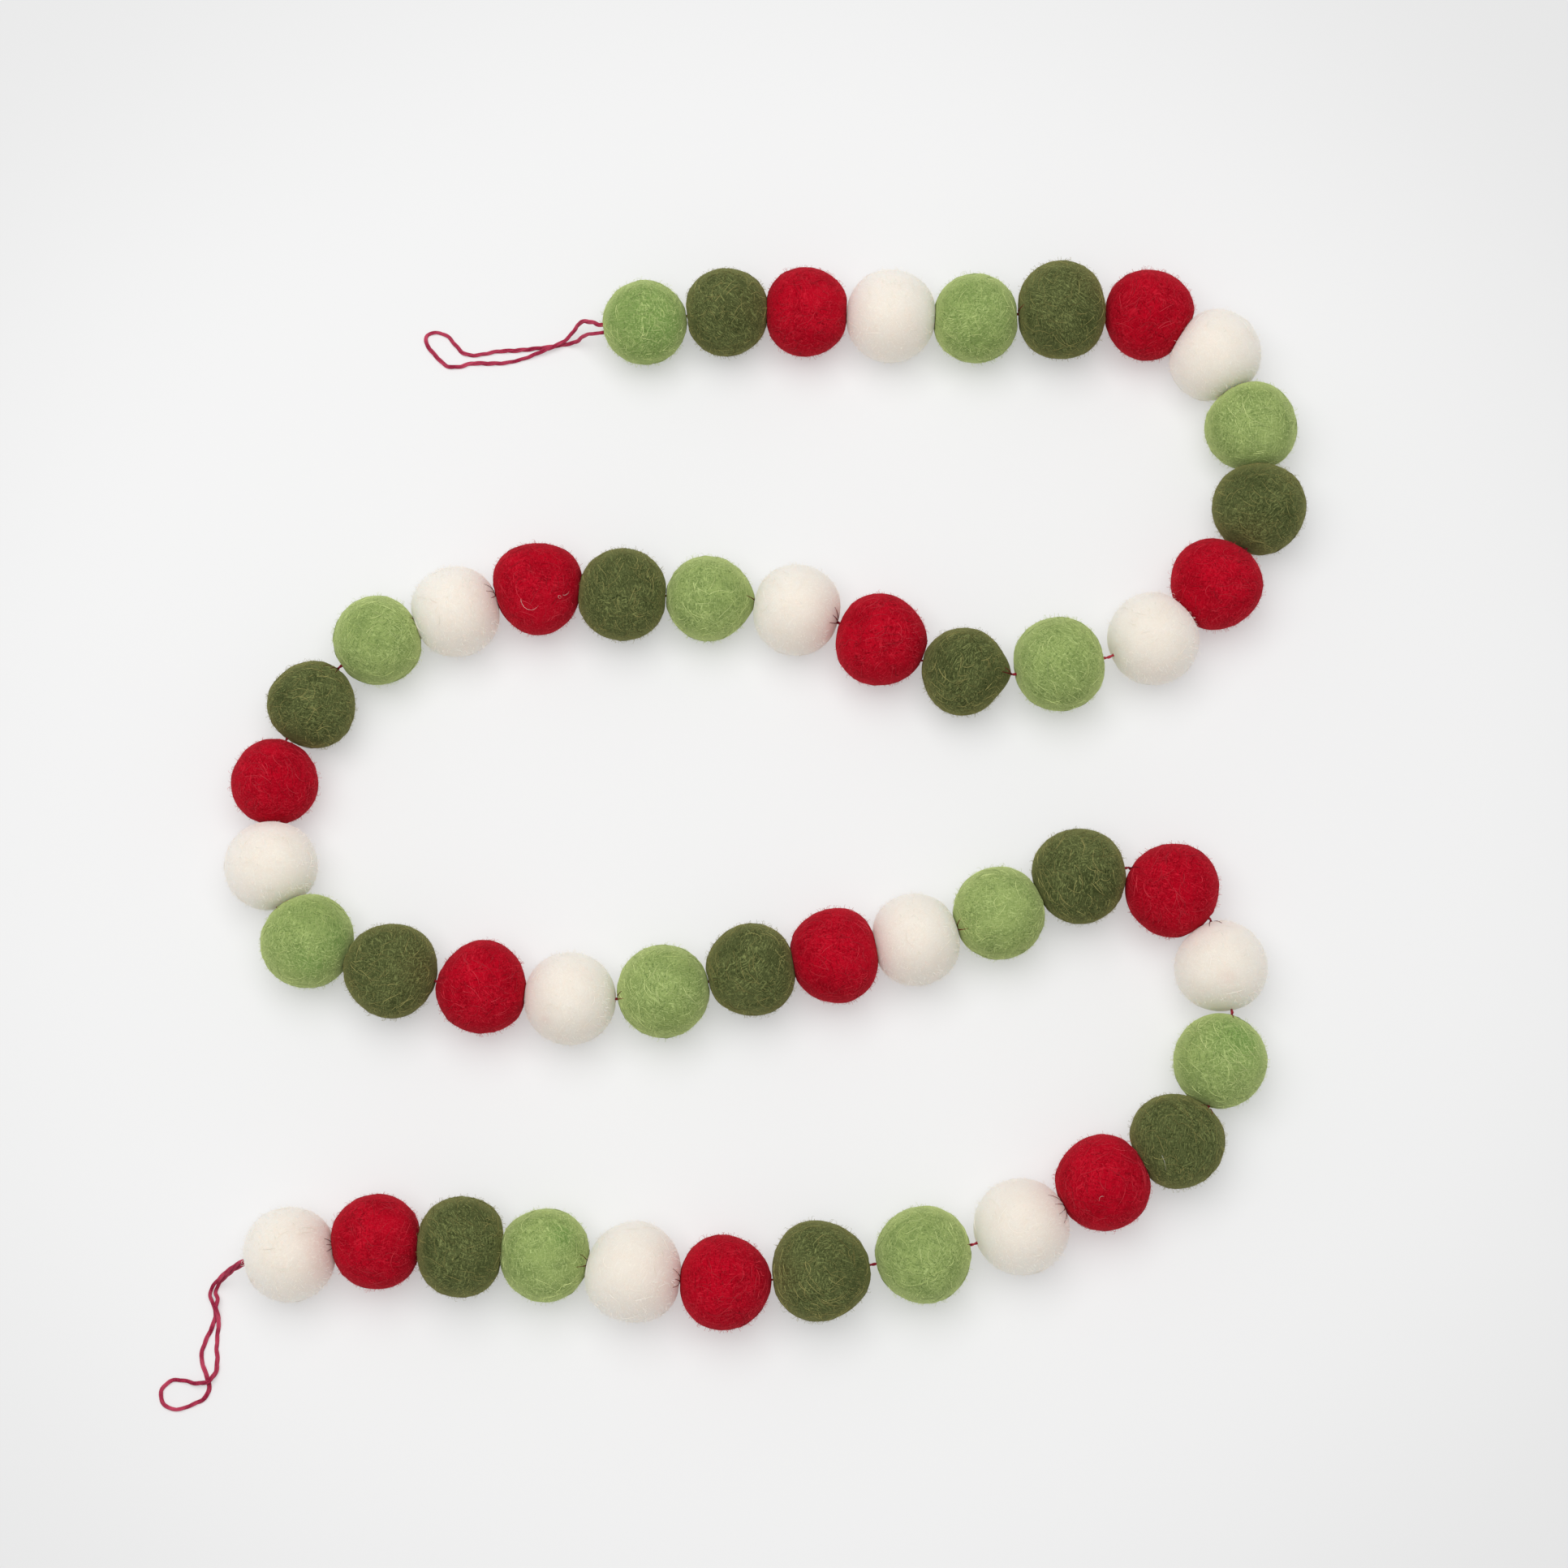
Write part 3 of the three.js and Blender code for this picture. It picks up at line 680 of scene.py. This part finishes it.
def strand_arrays(tracks, thick, tones):
    """Three-sided strands that thin out towards the far end: their points, sides, ends and tones.
    A strand of one step runs to a point."""
    amount, steps, _ = tracks.shape
    tangent = unit(np.gradient(tracks, axis=1))
    level = unit(np.cross(tangent, ASLANT))
    rise = np.cross(tangent, level)
    taper = np.interp(np.linspace(0, 1, steps), [0, 0.3, 1], [0.8, 1.0, 0.35])[None, :, None]
    rings = [tracks + thick / 2 * taper * (math.cos(a) * level + math.sin(a) * rise)
             for a in (0, 2 * math.pi / 3, 4 * math.pi / 3)]
    if steps == 2:
        points = np.stack([ring[:, 0] for ring in rings] + [tracks[:, 1]], axis=1).reshape(-1, 3)
        base = np.arange(amount) * 4
        corners_of = ((0, 1, 3), (1, 2, 3), (2, 0, 3), (2, 1, 0))
        sides = [np.stack([base + k for k in side], axis=-1) for side in corners_of]
        return points, np.vstack(sides[:3]), sides[3], np.repeat(tones, 4)
    points = np.stack(rings, axis=2).reshape(-1, 3)
    base = (np.arange(amount * steps) * 3).reshape(amount, steps)
    near, far = base[:, :-1], base[:, 1:]
    sides = [np.stack([near + a, near + b, far + b, far + a], axis=-1).reshape(-1, 4)
             for a, b in ((0, 1), (1, 2), (2, 0))]
    ends = [np.stack([base[:, 0] + 2, base[:, 0] + 1, base[:, 0]], axis=-1),
            np.stack([base[:, -1], base[:, -1] + 1, base[:, -1] + 2], axis=-1)]
    return points, np.vstack(sides), np.vstack(ends), np.repeat(tones, steps * 3)


def strand_mesh(name, groups):
    """Joins groups of strands into one mesh, with each strand's tone kept on its points."""
    points, faces, tones, first = [], [], [], 0
    for tracks, thick, tone in groups:
        p, quads, caps, t = strand_arrays(tracks, thick, tone)
        points.append(p)
        tones.append(t)
        faces += (quads + first).tolist() + (caps + first).tolist()
        first += len(p)
    mesh = bpy.data.meshes.new(name)
    points = np.vstack(points)
    points[:, 2] = np.maximum(points[:, 2], 0.0)
    mesh.from_pydata(points.tolist(), [], faces)
    mesh.attributes.new("tone", "FLOAT", "POINT").data.foreach_set("value", np.concatenate(tones))
    mesh.update()
    return mesh


def fuzz_finish(name, tones):
    """A single wool fibre, from the deepest to the palest that the felt shows."""
    material, tree, shader = new_material(name, roughness=0.9, sheen=0.2, sheen_colour=tones[1])
    tone = add_node(tree, "ShaderNodeAttribute", {"attribute_name": "tone"}).outputs["Fac"]
    place = add_node(tree, "ShaderNodeTexCoord").outputs["Object"]
    uneven = add_node(tree, "ShaderNodeTexNoise", None, Vector=place, Scale=900.0)
    blend = add_node(tree, "ShaderNodeMath", {"operation": "MULTIPLY_ADD"},
                     i0=uneven.outputs["Fac"], i1=0.3, i2=tone)
    tree.links.new(mix_colours(tree, blend.outputs[0], *tones), shader.inputs["Base Color"])
    return material


for turn, slot in enumerate(FELT_TURNS):
    fuzz = FUZZ[slot]
    groups = []
    for number in range(turn, len(BALL_NODES), len(FELT_TURNS)):
        lying = lying_fibres(number, fuzz["lying"])
        standing = standing_fibres(number, fuzz["standing"])
        short = stubble(number, fuzz["stubble"])
        groups.append((lying, FIBRE_D, draw.uniform(0.0, 0.85, len(lying))))
        groups.append((standing, HAIR_D, draw.uniform(0.4, 1.0, len(standing))))
        groups.append((short, STUBBLE_D, draw.uniform(0.45, 1.0, len(short))))
    if slot == "felt_cream":
        groups += [(curl(*stray)[None], STRAY_D, np.array([0.5])) for stray in STRAYS]
    name = slot.replace("felt_", "wool_fibres_")
    new_piece(name, strand_mesh(name, groups), fuzz_finish(name, fuzz["tones"]), slot)

# The frayed thread: where a needle hole was pulled open, crimson wisps of the thread and of the red wool
# fan out over the edge of the next ball, held down by the felt.
WISPS = [  # gap after ball, prongs, fan in degrees, length in mm
    (5, 1, 0, 2.2), (13, 2, 16, 1.6), (15, 3, 40, 2.2), (16, 1, 0, 1.6), (19, 3, 36, 2.6), (20, 1, 0, 1.5),
    (21, 3, 30, 2.6), (24, 1, 0, 1.6), (28, 2, 20, 1.6), (32, 2, 30, 2.0), (34, 1, 0, 2.0), (35, 2, 30, 2.2),
    (36, 1, 0, 1.2), (37, 3, 30, 2.2), (39, 4, 60, 3.4), (40, 1, 0, 1.4), (43, 3, 36, 2.4), (44, 2, 30, 2.4),
    (47, 3, 30, 1.8),
]
WISP_D = 0.45 * MM
WISP_STEPS = 6
WISP_SHARES = (0.7, 1.1)    # the shortest and the longest prong, as shares of the length


def wisp(gap, fan, length):
    """One wisp: out of the gap and over the edge of the next ball, up the side that shows."""
    middle = middles[gap]
    start = unit(corners[gap] - middle)
    upward = unit(np.array([0.0, 0.0, 1.0]) - start * start[2])
    heading = upward * math.cos(fan) + np.cross(start, upward) * math.sin(fan)
    along = np.linspace(-0.1, 1, WISP_STEPS)[:, None] * math.acos(1 - length / USUAL_R)
    directions = unit(start * np.cos(along) + heading * np.sin(along))
    track = on_felt(gap, directions, np.full(WISP_STEPS, 0.04 * MM))
    track[0] = corners[gap]
    return track


wisps = []
for gap, prongs, fan, length in WISPS:
    for turn in np.radians(np.linspace(-fan / 2, fan / 2, prongs)):
        wisps.append(wisp(gap, turn, length * draw.uniform(*WISP_SHARES)))
wisp_finish = fuzz_finish("frayed_thread", (shade(54, 6, 16), shade(136, 28, 42)))
wisp_group = (np.array(wisps), WISP_D, draw.uniform(0, 0.7, len(wisps)))
new_piece("frayed_thread", strand_mesh("frayed_thread", [wisp_group]), wisp_finish, "thread_crimson")

# The table and the light: a plain pale top that itself glows a little, as painted light, under one wide soft
# light from the upper left, with even light from all round.
FLOOR_SIZE = 40.0
FLOOR_TONES = ((0.48, 0.48, 0.48, 1), (0.50, 0.50, 0.50, 1))
FLOOR_PAINTED_SHADE = (0.42, 0.42, 0.42, 1)
FLOOR_SHADE_REACH = (0.19, 0.34)   # painted shade: the table is painted a little darker between these distances from its middle
FLOOR_GLOW = 0.375
EVEN_LIGHT = 0.36
KEY_SIZE = 1.1
KEY_POWER = 12.6
KEY_PLACE = (-0.12, 0.14, 1.15)
floor_shape = bmesh.new()
bmesh.ops.create_grid(floor_shape, x_segments=1, y_segments=1, size=FLOOR_SIZE / 2)
floor_mesh = bpy.data.meshes.new("table_top")
floor_shape.to_mesh(floor_mesh)
floor_shape.free()
floor = bpy.data.objects.new("table_top", floor_mesh)
bpy.context.collection.objects.link(floor)
floor_finish, floor_tree, floor_shader = new_material("pale_table", roughness=0.9, sheen=0.0,
                                                       sheen_colour=(1, 1, 1, 1))
floor_place = add_node(floor_tree, "ShaderNodeTexCoord").outputs["Object"]
floor_noise = add_node(floor_tree, "ShaderNodeTexNoise", None, Vector=floor_place, Scale=4.0, Detail=1.0)
floor_reach = add_node(floor_tree, "ShaderNodeVectorMath", {"operation": "LENGTH"}, i0=floor_place)
floor_painted_shade = add_node(floor_tree, "ShaderNodeMapRange", {"interpolation_type": "SMOOTHSTEP"},
                     Value=floor_reach.outputs["Value"], From_Min=FLOOR_SHADE_REACH[0], From_Max=FLOOR_SHADE_REACH[1])
floor_even = mix_colours(floor_tree, floor_noise.outputs["Fac"], *FLOOR_TONES)
# Painted shade: the table turns darker away from its middle.
floor_colour = mix_colours(floor_tree, floor_painted_shade.outputs["Result"], floor_even, FLOOR_PAINTED_SHADE)
floor_tree.links.new(floor_colour, floor_shader.inputs["Base Color"])
# Painted light: the table top glows, though it is no lamp.
floor_shader.inputs["Emission Color"].default_value = (1.0, 1.0, 1.0, 1.0)
floor_shader.inputs["Emission Strength"].default_value = FLOOR_GLOW
floor_mesh.materials.append(floor_finish)

world = bpy.data.worlds.new("even_light")
bpy.context.scene.world = world
world.use_nodes = True
world.node_tree.nodes["Background"].inputs["Color"].default_value = (1.0, 1.0, 1.0, 1.0)
world.node_tree.nodes["Background"].inputs["Strength"].default_value = EVEN_LIGHT
key_data = bpy.data.lights.new("soft_light", "AREA")
key_data.shape = "SQUARE"
key_data.size = KEY_SIZE
key_data.energy = KEY_POWER
key = bpy.data.objects.new("soft_light", key_data)
key.location = KEY_PLACE
key.rotation_euler = (LOOK_AT - key.location).to_track_quat("-Z", "Y").to_euler()
bpy.context.collection.objects.link(key)
bpy.context.scene.view_settings.view_transform = "Standard"
